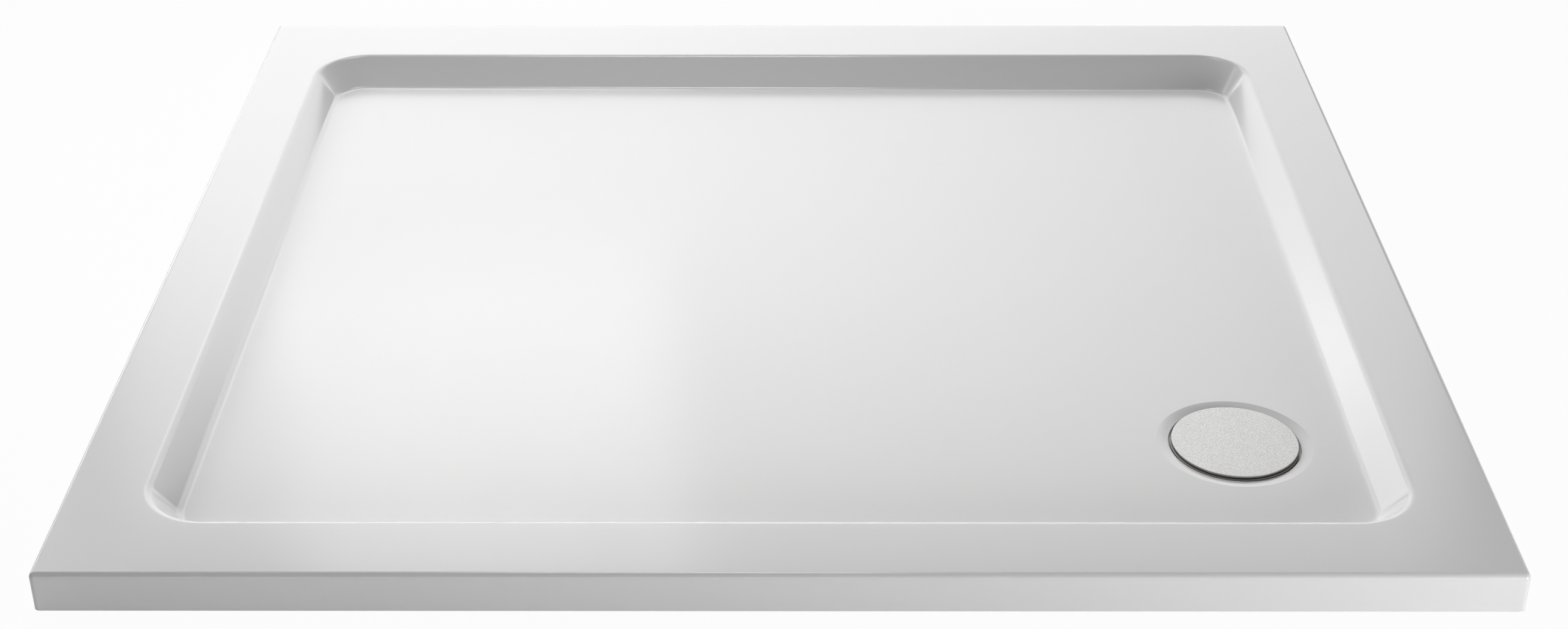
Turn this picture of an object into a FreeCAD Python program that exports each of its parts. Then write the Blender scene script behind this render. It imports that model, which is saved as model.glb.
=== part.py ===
import FreeCAD, Part
import math
import os
import re
import Sketcher

# Shower tray with a flush 90 mm waste and its trap.
# Millimetres. +X runs to the right, +Y to the back and +Z up, seen from the front edge.
# The origin is the middle of the underside that lies on the finished floor.
# The trap hangs below that face, in the cut-out that such a floor has for it.

UPWARDS = FreeCAD.Vector(0, 0, 1)

# The driving dimensions: millimetres, degrees and counts
SIZES = {
    # The tray's outside
    "tray_width": 1200,
    "tray_length": 1100,
    "tray_height": 37,
    "corner_radius": 5,
    "top_edge_radius": 5,

    # The white cap sheet and the resin core behind it
    "skin_thickness": 2.5,
    "skirt_lift": 1.5,

    # The basin: rims, leaning walls and the corners of its outline
    "side_rim": 69,
    "front_rim": 75,
    "back_rim": 90,
    "side_wall_lean": 40,
    "front_wall_lean": 40,
    "back_wall_lean": 53.5,
    "rim_corner_radius": 55,
    "foot_corner_radius": 30,
    "rim_roundover": 10,
    "cove_radius": 10,

    # The floor falls to a round recess: a shallow dish round the waste, then a step down
    # to the seat of the flange
    "waste_from_side": 197,
    "waste_from_front": 236,
    "waste_floor_level": 8.5,
    "floor_fall": 0.0025,
    "recess_radius": 69,
    "recess_seat_radius": 58,
    "recess_slope_depth": 1.4,
    "recess_depth": 4,
    "recess_lip_radius": 6,
    "seat_edge_radius": 1,
    "waste_hole_radius": 45,
    "stop_groove_distance": 6,
    "stop_groove_width": 4,
    "stop_groove_depth": 1.5,

    # The flange that clamps the tray between two seals
    "seal_hole_distance": 2,
    "seal_seat_distance": 2,
    "top_seal_thickness": 1,
    "under_seal_thickness": 2,
    "flange_seat_distance": 1,
    "flange_rim_thickness": 1.7,
    "flange_wall": 2,
    "flange_hole_clearance": 1.5,
    "flange_base_level": 1.2,
    "flange_base_thickness": 2.2,
    "throat_screw_distance": 8,
    "throat_wall": 1.8,
    "throat_end_level": -12,

    # Four countersunk screws and their brass inserts
    "screw_count": 4,
    "screw_wall_distance": 4.5,
    "screw_start_angle": 45,
    "screw_radius": 2,
    "screw_head_radius": 3.8,
    "screw_head_height": 1.8,
    "screw_length": 18,
    "screw_socket_radius": 1.2,
    "screw_socket_depth": 1.2,
    "screw_clearance": 0.3,
    "thread_clearance": 0.05,
    "insert_wall": 1,
    "insert_length": 11,
    "boss_wall": 1.6,
    "boss_end_wall": 2,

    # The trap: an upper body and a welded bowl
    "clamp_gap": 1,
    "trap_flange_overhang": 3,
    "trap_flange_thickness": 5,
    "trap_bore_clearance": 0.5,
    "chamber_radius": 51,
    "trap_wall": 3,
    "weld_level": -64,
    "weld_flange_width": 4,
    "weld_flange_thickness": 2.5,
    "bowl_floor_level": -94,
    "bowl_edge_radius": 8,

    # The lift-out dip tube and its O-ring
    "dip_running_clearance": 0.1,
    "dip_wall": 3.9,
    "dip_lower_wall": 2,
    "dip_collar_overlap": 3.6,
    "dip_collar_thickness": 1.5,
    "dip_end_level": -82,
    "ring_groove_level": -7,
    "ring_groove_depth": 2,
    "ring_groove_width": 2.6,
    "ring_bore_clearance": 0.03,
    "ring_groove_clearance": 0.05,

    # The hair strainer that hangs in the dip tube
    "strainer_clearance": 0.3,
    "strainer_wall": 1.3,
    "strainer_lip_distance": 3.1,
    "strainer_lip_thickness": 1.2,
    "strainer_depth": 18,
    "strainer_hole_radius": 1.9,
    "strainer_ring_spacing": 7.5,
    "strainer_inner_count": 8,
    "strainer_ring_distance": 5.9,
    "strainer_outer_count": 14,
    "strainer_slot_width": 2.4,
    "strainer_slot_count": 12,
    "strainer_slot_margin": 3,
    "knob_radius": 3,
    "knob_height": 17,

    # The round cover and the carrier under it
    "cover_radius": 56,
    "cover_stand": 2,
    "cover_sheet": 1,
    "cover_edge_depth": 1.8,
    "cover_edge_thickness": 1,
    "cover_edge_radius": 0.6,
    "carrier_clearance": 0.5,
    "carrier_plate": 1.2,
    "carrier_rib_depth": 2.4,
    "carrier_rib_thickness": 1.6,
    "carrier_hub_radius": 9,
    "leg_count": 4,
    "leg_lip_margin": 0.7,
    "leg_width": 9,
    "leg_thickness": 3,
    "pad_thickness": 1,

    # The side outlet, its union and the swivel elbow
    "outlet_level": -34,
    "outlet_bore_radius": 18,
    "outlet_tube_wall": 3.5,
    "outlet_neck": 6,
    "outlet_thread_length": 20,
    "union_socket_radius": 20.5,
    "union_socket_depth": 14,
    "union_socket_wall": 3.5,
    "spigot_clearance": 0.1,
    "spigot_end_gap": 1,
    "elbow_wall": 2.6,
    "elbow_collar_clearance": 0.7,
    "elbow_collar_gap": 0.3,
    "elbow_collar_thickness": 2.5,
    "union_seal_thickness": 2.2,
    "union_seal_wall": 2.9,
    "union_seal_clearance": 0.4,
    "nut_thread_clearance": 0.1,
    "nut_wall": 4.4,
    "nut_lip_thickness": 2.7,
    "nut_lip_clearance": 0.8,
    "nut_end_gap": 0.3,
    "nut_grip_count": 12,
    "nut_grip_width": 4,
    "nut_grip_height": 1.2,
    "union_nut_setback": 2,
    "elbow_neck": 7,
    "bend_radius": 40,
    "bend_angle": 45,

    # The socket for a 40 mm waste pipe and its compression joint
    "pipe_socket_radius": 20.25,
    "pipe_socket_depth": 26,
    "pipe_stop_length": 6,
    "pipe_thread_wall": 1.6,
    "pipe_loose_clearance": 0.35,
    "cone_seat_depth": 4,
    "cone_mouth_growth": 2.75,
    "cone_seal_stand": 2,
    "slip_washer_thickness": 1.2,
    "outlet_nut_overlap": 14,
}

doc = FreeCAD.newDocument("shower_tray")
sizes = doc.addObject("Spreadsheet::Sheet", "sizes")
for row, (name, value) in enumerate(SIZES.items(), 1):
    sizes.set("A%d" % row, name)
    sizes.set("B%d" % row, str(value))
    sizes.setAlias("B%d" % row, name)
doc.recompute()


def bound(formula):
    """The same formula with each size's name pointing at its cell."""
    return re.sub(r"[a-z_]+", lambda word: "sizes." + word[0] if word[0] in SIZES else word[0], formula)


def number(formula):
    """What a formula of named sizes comes to."""
    return float(sizes.evalExpression(bound(formula)))


def new_body(label):
    body = doc.addObject("PartDesign::Body", label)
    body.Label = label
    return body


def sketch_on(body, role, name, height=None):
    """A sketch on one of the body's own origin planes, or at a height over it."""
    sketch = body.newObject("Sketcher::SketchObject", name)
    plane = [item for item in body.Origin.OriginFeatures if item.Role == role][0]
    sketch.AttachmentSupport = [(plane, "")]
    sketch.MapMode = "FlatFace"
    if height:
        sketch.setExpression("AttachmentOffset.Base.z", bound(height))
    return sketch


def pin_point(sketch, line, end, spot):
    """Ties one end of a line to a pair of formulas, measured from the sketch's origin."""
    for kind, formula in zip(("DistanceX", "DistanceY"), spot):
        rule = Sketcher.Constraint(kind, -1, 1, line, end, number(formula))
        index = sketch.addConstraint(rule)
        sketch.setExpression("Constraints[%d]" % index, bound(formula))


def outline(sketch, corners):
    """A closed outline of straight lines through corners given as formulas."""
    spots = [FreeCAD.Vector(number(x), number(y), 0) for x, y in corners]
    first = sketch.GeometryCount
    count = len(spots)
    for index, start in enumerate(spots):
        sketch.addGeometry(Part.LineSegment(start, spots[(index + 1) % count]))
    for index in range(count):
        following = first + (index + 1) % count
        sketch.addConstraint(Sketcher.Constraint("Coincident", first + index, 2, following, 1))
    for index, corner in enumerate(corners):
        pin_point(sketch, first + index, 1, corner)


def circle(sketch, x, y, radius):
    """A circle whose centre and radius are formulas."""
    centre = FreeCAD.Vector(number(x), number(y), 0)
    index = sketch.addGeometry(Part.Circle(centre, UPWARDS, number(radius)))
    pin_point(sketch, index, 3, (x, y))
    rule = sketch.addConstraint(Sketcher.Constraint("Radius", index, number(radius)))
    sketch.setExpression("Constraints[%d]" % rule, bound(radius))


def rounded_outline(sketch, left, right, front, back, radius):
    """A rectangle with tangent corner arcs; every argument is a formula."""
    x0, x1, y0, y1, r = [number(item) for item in (left, right, front, back, radius)]
    ends = [
        ((x0 + r, y0), (x1 - r, y0)),
        ((x1, y0 + r), (x1, y1 - r)),
        ((x1 - r, y1), (x0 + r, y1)),
        ((x0, y1 - r), (x0, y0 + r)),
    ]
    centres = [(x1 - r, y0 + r), (x1 - r, y1 - r), (x0 + r, y1 - r), (x0 + r, y0 + r)]
    quarter = math.pi / 2
    for start, end in ends:
        sketch.addGeometry(Part.LineSegment(FreeCAD.Vector(*start, 0), FreeCAD.Vector(*end, 0)))
    for index, centre in enumerate(centres):
        ring = Part.Circle(FreeCAD.Vector(*centre, 0), UPWARDS, r)
        sketch.addGeometry(Part.ArcOfCircle(ring, (index - 1) * quarter, index * quarter))
    for index in range(4):
        arc = index + 4
        sketch.addConstraint(Sketcher.Constraint("Tangent", index, 2, arc, 1))
        sketch.addConstraint(Sketcher.Constraint("Tangent", arc, 2, (index + 1) % 4, 1))
    for index in (5, 6, 7):
        sketch.addConstraint(Sketcher.Constraint("Equal", 4, index))
    rule = sketch.addConstraint(Sketcher.Constraint("Radius", 4, r))
    sketch.setExpression("Constraints[%d]" % rule, bound(radius))
    sides = (("DistanceY", 0, front), ("DistanceX", 1, right), ("DistanceY", 2, back), ("DistanceX", 3, left))
    for kind, line, formula in sides:
        level = "Horizontal" if kind == "DistanceY" else "Vertical"
        sketch.addConstraint(Sketcher.Constraint(level, line))
        rule = sketch.addConstraint(Sketcher.Constraint(kind, -1, 1, line, 1, number(formula)))
        sketch.setExpression("Constraints[%d]" % rule, bound(formula))


def turned(body, name, corners, kind="PartDesign::Revolution"):
    """Turns an outline of (radius, height) corners about the body's own Z axis."""
    sketch = sketch_on(body, "XZ_Plane", name + "_profile")
    outline(sketch, corners)
    feature = body.newObject(kind, name)
    feature.Profile = sketch
    feature.ReferenceAxis = (sketch, ["V_Axis"])
    feature.Angle = 360
    doc.recompute()
    return feature


def tube(inner, outer, low, high):
    """Corners of a plain ring for turned()."""
    return [(inner, low), (outer, low), (outer, high), (inner, high)]


def extruded(body, name, sketch, length, kind="PartDesign::Pad", down=False):
    """Pads or pockets a sketch by a formula's length, upwards unless down is set."""
    feature = body.newObject(kind, name)
    feature.Profile = sketch
    feature.setExpression("Length", bound(length))
    feature.Reversed = down if kind == "PartDesign::Pad" else not down
    doc.recompute()
    return feature


def repeated(body, name, feature, count):
    """Spreads a feature evenly round the body's own Z axis."""
    pattern = body.newObject("PartDesign::PolarPattern", name)
    pattern.Originals = [feature]
    axis = [item for item in body.Origin.OriginFeatures if item.Role == "Z_Axis"][0]
    pattern.Axis = (axis, [""])
    pattern.Angle = 360
    pattern.setExpression("Occurrences", bound(count))
    body.Tip = pattern
    doc.recompute()
    return pattern


def rounded(body, name, edges, radius):
    """Rounds the edges of the body's present shape that a test picks."""
    base = body.Tip
    picked = ["Edge%d" % (index + 1) for index, edge in enumerate(base.Shape.Edges) if edges(edge)]
    feature = body.newObject("PartDesign::Fillet", name)
    feature.Base = (base, picked)
    feature.setExpression("Radius", bound(radius))
    doc.recompute()
    return feature


def joined(body, name, kind, tool):
    """Cuts with, or keeps what is common to, another body."""
    feature = body.newObject("PartDesign::Boolean", name)
    feature.Type = kind
    feature.setObjects([tool])
    body.Tip = feature
    doc.recompute()
    return feature


def at_waste(piece):
    """Stands a piece on the waste's own upright axis."""
    piece.setExpression("Placement.Base.x", bound(waste_x))
    piece.setExpression("Placement.Base.y", bound(waste_y))


def near(value, target):
    """Whether two lengths agree to a hundredth of a millimetre."""
    return round(value - target, 2) == 0


# Places, levels and radii that several pieces share
waste_x = "(tray_width / 2 - waste_from_side)"
waste_y = "(waste_from_front - tray_length / 2)"
stop_groove_radius = "(recess_radius + stop_groove_distance)"
recess_slope = "atan(recess_slope_depth / (recess_radius - recess_seat_radius))"
seat_level = "(waste_floor_level - recess_depth)"
flange_rim_bottom = "(%s + top_seal_thickness)" % seat_level
flange_rim_top = "(%s + flange_rim_thickness)" % flange_rim_bottom
flange_radius = "(recess_seat_radius - flange_seat_distance)"
flange_spigot_radius = "(waste_hole_radius - flange_hole_clearance)"
flange_base_bottom = "(flange_base_level - flange_base_thickness)"
dish_radius = "(%s - flange_wall)" % flange_spigot_radius
screw_circle = "(%s - screw_wall_distance)" % dish_radius
screw_x = "(%s * cos(screw_start_angle))" % screw_circle
screw_y = "(%s * sin(screw_start_angle))" % screw_circle
throat_radius = "(%s - throat_screw_distance)" % screw_circle
throat_outer = "(%s + throat_wall)" % throat_radius
seal_inside = "(waste_hole_radius + seal_hole_distance)"
seal_outside = "(recess_seat_radius - seal_seat_distance)"
trap_top = "(0 - under_seal_thickness)"
shelf_bottom = "(%s - trap_flange_thickness)" % trap_top
trap_bore = "(%s + trap_bore_clearance)" % throat_outer
trap_outer = "(chamber_radius + trap_wall)"
trap_flange_radius = "(%s + trap_flange_overhang)" % trap_outer
weld_radius = "(%s + weld_flange_width)" % trap_outer
insert_bore = "(screw_radius + thread_clearance)"
insert_outer = "(%s + insert_wall)" % insert_bore
boss_radius = "(%s + boss_wall)" % insert_outer
dip_outer = "(%s - dip_running_clearance)" % throat_radius
dip_bore = "(%s - dip_wall)" % dip_outer
dip_lower = "(%s + dip_lower_wall)" % dip_bore
collar_radius = "(%s + dip_collar_overlap)" % throat_radius
collar_top = "(flange_base_level + dip_collar_thickness)"
strainer_outer = "(%s - strainer_clearance)" % dip_bore
strainer_bottom = "(%s - strainer_depth)" % collar_top
lip_radius = "(%s - strainer_lip_distance)" % collar_radius
lip_top = "(%s + strainer_lip_thickness)" % collar_top
cover_top = "(waste_floor_level + cover_stand)"
carrier_top = "(%s - cover_sheet)" % cover_top
carrier_bottom = "(%s - carrier_plate)" % carrier_top
carrier_radius = "(cover_radius - cover_edge_thickness - carrier_clearance)"
leg_outside = "(%s - leg_lip_margin)" % lip_radius
leg_inside = "(%s - leg_thickness)" % leg_outside
outlet_tube_radius = "(outlet_bore_radius + outlet_tube_wall)"
outlet_thread_radius = "(union_socket_radius + union_socket_wall)"
outlet_thread_start = "(%s + outlet_neck)" % trap_outer
outlet_reach = "(%s + outlet_thread_length)" % outlet_thread_start
spigot_radius = "(union_socket_radius - spigot_clearance)"
elbow_bore = "(%s - elbow_wall)" % spigot_radius
union_nut_bore = "(%s + nut_thread_clearance)" % outlet_thread_radius
elbow_collar_radius = "(%s - elbow_collar_clearance)" % union_nut_bore
elbow_collar_start = "(%s + union_seal_thickness + elbow_collar_gap)" % outlet_reach
collar_end = "(%s + elbow_collar_thickness)" % elbow_collar_start
bend_start = "(%s + elbow_neck)" % collar_end
cone_mouth_radius = "(pipe_socket_radius + cone_mouth_growth)"
pipe_thread_radius = "(%s + pipe_thread_wall)" % cone_mouth_radius
outlet_nut_bore = "(%s + nut_thread_clearance)" % pipe_thread_radius


# The tray: one form is the outside of the white cap, the same form drawn in by the
# cap's thickness is the core.

def wall_shift(rim, lean, inset):
    """How far a leaning wall stands from the tray's edge at the top level."""
    return "(%s - (%s) / cos(%s))" % (rim, inset, lean)


def basin_outline(sketch, level, inset):
    """The basin's outline at a level; below the rim the walls lean inwards."""
    drop = "(tray_height - %s)" % level
    side = "(%s + %s * tan(side_wall_lean))" % (wall_shift("side_rim", "side_wall_lean", inset), drop)
    front = "(%s + %s * tan(front_wall_lean))" % (wall_shift("front_rim", "front_wall_lean", inset), drop)
    back = "(%s + %s * tan(back_wall_lean))" % (wall_shift("back_rim", "back_wall_lean", inset), drop)
    taper = "((rim_corner_radius - foot_corner_radius) / (tray_height - waste_floor_level))"
    radius = "(rim_corner_radius - %s * %s + %s)" % (drop, taper, inset)
    rounded_outline(
        sketch,
        "(%s - tray_width / 2)" % side,
        "(tray_width / 2 - %s)" % side,
        "(%s - tray_length / 2)" % front,
        "(tray_length / 2 - %s)" % back,
        radius,
    )


def recess_edge(inset):
    """The radius of the recess's upper edge on a surface that is drawn in by inset."""
    return "(recess_radius + (%s) * tan(%s / 2))" % (inset, recess_slope)


def slope_foot(inset):
    """The level at which the recess's slope ends, on a surface that is drawn in by inset."""
    run = "(recess_radius - recess_seat_radius - (%s))" % inset
    fall = "(%s * tan(%s) + (%s) / cos(%s))" % (run, recess_slope, inset, recess_slope)
    return "(waste_floor_level - %s)" % fall


def ring_edge(radius, level):
    """A test for the round edge of a radius at a level."""
    across, height = 2 * number(radius), number(level)

    def test(edge):
        box = edge.BoundBox
        return near(box.XLength, across) and near(box.ZMin, height) and near(box.ZMax, height)

    return test


def basin_space(prefix, inset):
    """The hollow that the leaning walls, the falling floor and the recess leave."""
    walls = new_body(prefix + "_basin")
    loft = walls.newObject("PartDesign::AdditiveLoft", prefix + "_walls")
    low = sketch_on(walls, "XY_Plane", prefix + "_low", "0 - skin_thickness")
    basin_outline(low, "(0 - skin_thickness)", inset)
    high = sketch_on(walls, "XY_Plane", prefix + "_high", "tray_height + skin_thickness")
    basin_outline(high, "(tray_height + skin_thickness)", inset)
    loft.Profile = low
    loft.Sections = [high]
    loft.Ruled = True
    doc.recompute()
    floor = new_body(prefix + "_floor")
    reach = "(tray_width + tray_length)"
    seat_wall = "(recess_seat_radius + %s)" % inset
    turned(floor, prefix + "_fall", [
        ("0", "%s - (%s)" % (seat_level, inset)),
        (seat_wall, "%s - (%s)" % (seat_level, inset)),
        (seat_wall, slope_foot(inset)),
        (recess_edge(inset), "waste_floor_level - (%s)" % inset),
        (reach, "waste_floor_level + floor_fall * (%s - recess_radius) - (%s)" % (reach, inset)),
        (reach, "tray_height + 2 * skin_thickness"),
        ("0", "tray_height + 2 * skin_thickness"),
    ])
    at_waste(floor)
    doc.recompute()
    joined(walls, prefix + "_space", "Common", floor)
    return walls


def tray_form(label, inset, bottom):
    """A rounded slab with the basin cut out of it, and all its edges rounded."""
    body = new_body(label)
    slab = sketch_on(body, "XY_Plane", label + "_plan", bottom)
    half_width = "(tray_width / 2 - (%s))" % inset
    half_length = "(tray_length / 2 - (%s))" % inset
    rounded_outline(
        slab,
        "(0 - %s)" % half_width,
        half_width,
        "(0 - %s)" % half_length,
        half_length,
        "(corner_radius - (%s))" % inset,
    )
    top = "(tray_height - (%s))" % inset
    extruded(body, label + "_slab", slab, "%s - (%s)" % (top, bottom))
    joined(body, label + "_hollow", "Cut", basin_space(label, inset))
    level = number(top)
    half_height = level / 2
    side_middle = number("%s - side_rim / 2" % half_width)
    front_middle = number("front_rim / 2 - %s" % half_length)
    back_middle = number("%s - back_rim / 2" % half_length)

    def on_top(edge):
        return all(near(point.Point.z, level) for point in edge.Vertexes)

    def outer_top(edge):
        box = edge.BoundBox
        beside = box.XMin < -side_middle or box.XMax > side_middle
        return on_top(edge) and (beside or box.YMin < front_middle or box.YMax > back_middle)

    def inner_top(edge):
        return on_top(edge) and not outer_top(edge)

    def wall_foot(edge):
        for face in body.Tip.Shape.Faces:
            reaches_rim = any(near(point.Point.z, level) for point in face.Vertexes)
            low = [item for item in face.Edges if all(p.Point.z < half_height for p in item.Vertexes)]
            inside = face.BoundBox.XMax < side_middle and face.BoundBox.XMin > -side_middle
            if reaches_rim and inside and any(item.isSame(edge) for item in low):
                return True
        return False

    recess_lip = ring_edge(recess_edge(inset), "waste_floor_level - (%s)" % inset)
    rounded(body, label + "_cove", wall_foot, "cove_radius + (%s)" % inset)
    rounded(body, label + "_rim", inner_top, "rim_roundover - (%s)" % inset)
    rounded(body, label + "_edge", outer_top, "top_edge_radius - (%s)" % inset)
    rounded(body, label + "_lip", recess_lip, "recess_lip_radius - (%s)" % inset)
    hole = sketch_on(body, "XY_Plane", label + "_hole_plan", "0 - tray_height")
    circle(hole, waste_x, waste_y, "waste_hole_radius")
    extruded(body, label + "_hole", hole, "3 * tray_height", "PartDesign::Pocket")
    return body


tray_core = tray_form("tray_core", "skin_thickness", "0")
cap_outside = tray_form("cap_outside", "0", "skirt_lift")
seat_edge = ring_edge("recess_seat_radius", slope_foot("0"))
rounded(cap_outside, "seat_edge", seat_edge, "seat_edge_radius")

stop_groove = sketch_on(tray_core, "XY_Plane", "stop_groove_plan")
circle(stop_groove, waste_x, waste_y, stop_groove_radius)
circle(stop_groove, waste_x, waste_y, "%s + stop_groove_width" % stop_groove_radius)
extruded(tray_core, "stop_groove", stop_groove, "stop_groove_depth", "PartDesign::Pocket", down=False)

tray_skin = doc.addObject("Part::Cut", "tray_skin")
tray_skin.Base = cap_outside
tray_skin.Tool = tray_core
tray_skin.Label = "tray_skin"
doc.recompute()


def ring_piece(label, inner, outer, low, high):
    """A plain ring on the waste's axis, such as a flat seal."""
    body = new_body(label)
    turned(body, label + "_ring", tube(inner, outer, low, high))
    at_waste(body)
    return body


# The flange, its seals and its screws
flange_washer = ring_piece(
    "flange_washer", seal_inside, seal_outside, seat_level, flange_rim_bottom
)
tray_gasket = ring_piece(
    "tray_gasket", seal_inside, seal_outside, trap_top, "0"
)


def round_the_waste(label, piece):
    """Upright copies of a piece on the screw circle, kept as one group of solids."""
    count = int(number("screw_count"))
    copies = []
    for index in range(count):
        angle = "(screw_start_angle + %d * 360 / screw_count)" % index
        copy = doc.addObject("App::Link", "%s_%d" % (label, index + 1))
        copy.LinkedObject = piece
        copy.setExpression("Placement.Base.x", bound("%s + %s * cos(%s)" % (waste_x, screw_circle, angle)))
        copy.setExpression("Placement.Base.y", bound("%s + %s * sin(%s)" % (waste_y, screw_circle, angle)))
        copies.append(copy)
    group = doc.addObject("Part::Compound", label)
    group.Label = label
    group.Links = copies
    doc.recompute()
    return group


flange_blank = new_body("flange_blank")
rim_bevel = "(flange_rim_thickness / 2)"
turned(flange_blank, "flange_turned", [
    (throat_radius, "throat_end_level"),
    (throat_outer, "throat_end_level"),
    (throat_outer, flange_base_bottom),
    (flange_spigot_radius, flange_base_bottom),
    (flange_spigot_radius, flange_rim_bottom),
    (flange_radius, flange_rim_bottom),
    (flange_radius, "%s - %s" % (flange_rim_top, rim_bevel)),
    ("%s - %s" % (flange_radius, rim_bevel), flange_rim_top),
    (dish_radius, flange_rim_top),
    (dish_radius, "flange_base_level"),
    (throat_radius, "flange_base_level"),
])
at_waste(flange_blank)

countersink = new_body("countersink")
turned(countersink, "countersink_turned", [
    ("0", flange_base_bottom),
    ("screw_radius + screw_clearance", flange_base_bottom),
    ("screw_radius + screw_clearance", "flange_base_level - screw_head_height"),
    ("screw_head_radius + screw_clearance", "flange_base_level"),
    ("screw_head_radius + screw_clearance", "flange_base_level + screw_clearance"),
    ("0", "flange_base_level + screw_clearance"),
])

waste_flange = doc.addObject("Part::Cut", "waste_flange")
waste_flange.Base = flange_blank
waste_flange.Tool = round_the_waste("countersinks", countersink)
waste_flange.Label = "waste_flange"

screw = new_body("screw")
screw_end = "(flange_base_level - screw_length)"
turned(screw, "screw_turned", [
    ("0", screw_end),
    ("screw_radius", screw_end),
    ("screw_radius", "flange_base_level - screw_head_height"),
    ("screw_head_radius", "flange_base_level"),
    ("0", "flange_base_level"),
])
socket = sketch_on(screw, "XY_Plane", "screw_socket_plan", "flange_base_level")
outline(socket, [
    ("screw_socket_radius * cos(%d)" % angle, "screw_socket_radius * sin(%d)" % angle)
    for angle in range(0, 360, 60)
])
extruded(screw, "screw_socket", socket, "screw_socket_depth", "PartDesign::Pocket", down=True)
flange_screws = round_the_waste("flange_screws", screw)

insert = new_body("insert")
insert_end = "(%s - insert_length)" % trap_top
turned(insert, "insert_turned", tube(insert_bore, insert_outer, insert_end, trap_top))
screw_inserts = round_the_waste("screw_inserts", insert)

# The trap's upper body: clamping shelf, chamber wall, screw bosses and side outlet
trap_body = new_body("trap_body")
weld_top = "(weld_level + weld_flange_thickness)"
turned(trap_body, "trap_outside", [
    ("0", "weld_level"),
    (weld_radius, "weld_level"),
    (weld_radius, weld_top),
    (trap_outer, weld_top),
    (trap_outer, shelf_bottom),
    (trap_flange_radius, shelf_bottom),
    (trap_flange_radius, trap_top),
    ("0", trap_top),
])
tube_plan = sketch_on(trap_body, "YZ_Plane", "outlet_tube_plan")
circle(tube_plan, "0", "outlet_level", outlet_tube_radius)
extruded(trap_body, "outlet_tube", tube_plan, outlet_thread_start, down=True)
thread_plan = sketch_on(trap_body, "YZ_Plane", "outlet_thread_plan", "0 - %s" % outlet_thread_start)
circle(thread_plan, "0", "outlet_level", outlet_thread_radius)
extruded(trap_body, "outlet_thread", thread_plan, "outlet_thread_length", down=True)
turned(trap_body, "chamber", [
    ("0", "weld_level - trap_wall"),
    ("chamber_radius", "weld_level - trap_wall"),
    ("chamber_radius", shelf_bottom),
    (trap_bore, shelf_bottom),
    (trap_bore, "%s + trap_wall" % trap_top),
    ("0", "%s + trap_wall" % trap_top),
], "PartDesign::Groove")
boss_hole_depth = "(%s - %s + clamp_gap)" % (trap_top, screw_end)
boss_plan = sketch_on(trap_body, "XY_Plane", "boss_plan", "%s + trap_wall / 2" % shelf_bottom)
circle(boss_plan, screw_x, screw_y, boss_radius)
boss_length = "(%s - trap_flange_thickness + trap_wall / 2 + boss_end_wall)" % boss_hole_depth
boss = extruded(trap_body, "boss", boss_plan, boss_length, down=True)
repeated(trap_body, "bosses", boss, "screw_count")
insert_plan = sketch_on(trap_body, "XY_Plane", "insert_hole_plan", trap_top)
circle(insert_plan, screw_x, screw_y, insert_outer)
insert_hole = extruded(
    trap_body, "insert_hole", insert_plan, "insert_length", "PartDesign::Pocket", down=True
)
repeated(trap_body, "insert_holes", insert_hole, "screw_count")
shank_plan = sketch_on(trap_body, "XY_Plane", "shank_hole_plan", trap_top)
circle(shank_plan, screw_x, screw_y, "screw_radius + screw_clearance")
shank_hole = extruded(trap_body, "shank_hole", shank_plan, boss_hole_depth, "PartDesign::Pocket", down=True)
repeated(trap_body, "shank_holes", shank_hole, "screw_count")
bore_plan = sketch_on(trap_body, "YZ_Plane", "outlet_bore_plan")
circle(bore_plan, "0", "outlet_level", "outlet_bore_radius")
bore_length = "(%s + trap_wall)" % outlet_reach
extruded(trap_body, "outlet_bore", bore_plan, bore_length, "PartDesign::Pocket", down=True)
socket_end_distance = "(union_socket_depth - %s)" % outlet_reach
socket_plan = sketch_on(trap_body, "YZ_Plane", "union_socket_plan", socket_end_distance)
circle(socket_plan, "0", "outlet_level", "union_socket_radius")
extruded(
    trap_body, "union_socket", socket_plan, "union_socket_depth + trap_wall", "PartDesign::Pocket", down=True
)
at_waste(trap_body)

# The bowl that is welded under it and holds the water
trap_bowl = new_body("trap_bowl")
bowl_bottom = "(bowl_floor_level - trap_wall)"
weld_under = "(weld_level - weld_flange_thickness)"
turned(trap_bowl, "bowl_turned", [
    ("0", bowl_bottom),
    (trap_outer, bowl_bottom),
    (trap_outer, weld_under),
    (weld_radius, weld_under),
    (weld_radius, "weld_level"),
    ("chamber_radius", "weld_level"),
    ("chamber_radius", "bowl_floor_level"),
    ("0", "bowl_floor_level"),
])

rounded(trap_bowl, "bowl_outside_edge", ring_edge(trap_outer, bowl_bottom), "bowl_edge_radius")
bowl_inner_edge = ring_edge("chamber_radius", "bowl_floor_level")
rounded(trap_bowl, "bowl_inside_edge", bowl_inner_edge, "bowl_edge_radius - trap_wall")
at_waste(trap_bowl)

# The dip tube that lifts out through the throat, with its O-ring
dip_tube = new_body("dip_tube")
groove_radius = "(%s - ring_groove_depth)" % dip_outer
groove_low = "(ring_groove_level - ring_groove_width / 2)"
groove_high = "(ring_groove_level + ring_groove_width / 2)"
turned(dip_tube, "dip_turned", [
    (dip_bore, "dip_end_level"),
    (dip_lower, "dip_end_level"),
    (dip_lower, "throat_end_level"),
    (dip_outer, "throat_end_level"),
    (dip_outer, groove_low),
    (groove_radius, groove_low),
    (groove_radius, groove_high),
    (dip_outer, groove_high),
    (dip_outer, "flange_base_level"),
    (collar_radius, "flange_base_level"),
    (collar_radius, collar_top),
    (dip_bore, collar_top),
])
at_waste(dip_tube)

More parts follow.
